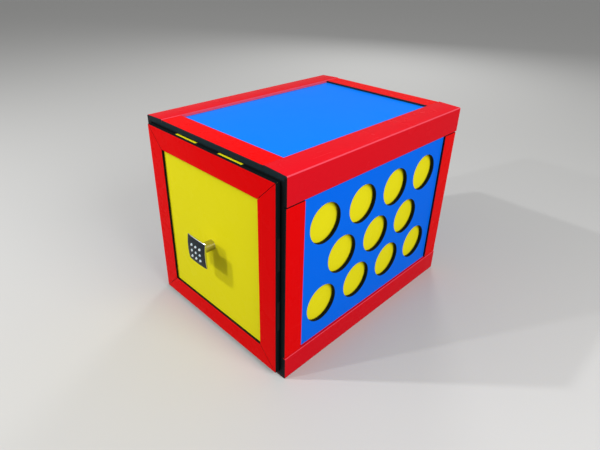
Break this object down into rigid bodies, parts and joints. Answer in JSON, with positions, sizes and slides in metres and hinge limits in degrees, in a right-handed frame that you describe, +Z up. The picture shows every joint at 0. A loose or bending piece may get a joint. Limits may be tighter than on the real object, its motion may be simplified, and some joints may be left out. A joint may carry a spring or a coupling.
{
  "type": "magic drawer box",
  "caption": "Perforated tabletop casing with a pull-out drawer, a tray nested in the drawer, and a rear turn catch that can hold the tray back.",
  "frame": {"origin": "middle of the footprint of the closed box with its knobs, on the surface that it stands on", "axes": "+Z up, -Y the way the drawer opens, +X to the right of someone who faces the drawer"},
  "size_m": [0.229, 0.3292, 0.2414],
  "materials": {
    "blue_laminated_board": "thin board with a satin blue laminate on both faces and dark cut edges",
    "red_corner_trim": "glossy red angle profile",
    "red_laminated_strip": "thin strip with a satin red laminate and dark cut edges",
    "yellow_laminated_board": "thin board with a glossy yellow laminate on both faces and dark cut edges",
    "black_tray_board": "thin board painted matt black",
    "polished_metal": "polished and plated",
    "knob_plate_metal": "charcoal lacquer on its face, bright metal at its edges",
    "crystal": "clear cut crystal with a bluish foil behind it",
    "plated_steel": "zinc plated",
    "bush_brass": "turned",
    "turn_knob_plastic": "moulded, fine matt texture"
  },
  "bodies": {
    "casing": {"casing_top_panel": "blue_laminated_board", "casing_bottom_panel": "blue_laminated_board", "casing_left_panel": "blue_laminated_board", "casing_right_panel": "blue_laminated_board", "casing_back_panel": "blue_laminated_board", "top_left_corner_trim": "red_corner_trim", "top_right_corner_trim": "red_corner_trim", "bottom_left_corner_trim": "red_corner_trim", "bottom_right_corner_trim": "red_corner_trim", "top_front_strip": "red_laminated_strip", "top_rear_strip": "red_laminated_strip", "left_front_strip": "red_laminated_strip", "left_rear_strip": "red_laminated_strip", "right_front_strip": "red_laminated_strip", "right_rear_strip": "red_laminated_strip", "back_frame_top": "red_laminated_strip", "back_frame_bottom": "red_laminated_strip", "back_frame_left": "red_laminated_strip", "back_frame_right": "red_laminated_strip", "catch_bush": "bush_brass"},
    "drawer": {"drawer_front_panel": "yellow_laminated_board", "drawer_frame_top": "red_laminated_strip", "drawer_frame_bottom": "red_laminated_strip", "drawer_frame_left": "red_laminated_strip", "drawer_frame_right": "red_laminated_strip", "drawer_left_side": "yellow_laminated_board", "drawer_right_side": "yellow_laminated_board", "drawer_bottom": "yellow_laminated_board", "drawer_top_rail": "yellow_laminated_board", "knob_stem": "polished_metal", "knob_plate": "knob_plate_metal", "knob_crystals": "crystal", "knob_screw": "plated_steel", "knob_washer": "plated_steel"},
    "tray": {"tray_bottom": "black_tray_board", "tray_front": "black_tray_board", "tray_back": "black_tray_board", "tray_left_side": "black_tray_board", "tray_right_side": "black_tray_board", "tray_strike": "plated_steel", "strike_screws": "plated_steel"},
    "catch": {"catch_spindle": "plated_steel", "catch_blade": "plated_steel", "blade_screw": "plated_steel", "turn_knob": "turn_knob_plastic"}
  },
  "joints": [
    {"name": "drawer_slide", "type": "slide", "parent": "casing", "child": "drawer", "axis": [0, -1, 0], "range_m": [0, 0.25]},
    {"name": "tray_slide", "type": "slide", "parent": "casing", "child": "tray", "axis": [0, -1, 0], "range_m": [0, 0.25]},
    {"name": "catch_turn", "type": "hinge", "parent": "casing", "child": "catch", "pos_m": [0, 0.15, 0.15], "axis": [0, 1, 0], "range_deg": [0, 90]}
  ],
  "couplings": [
    {"joint": "tray_slide", "follows": "drawer_slide", "ratio": 1}
  ]
}
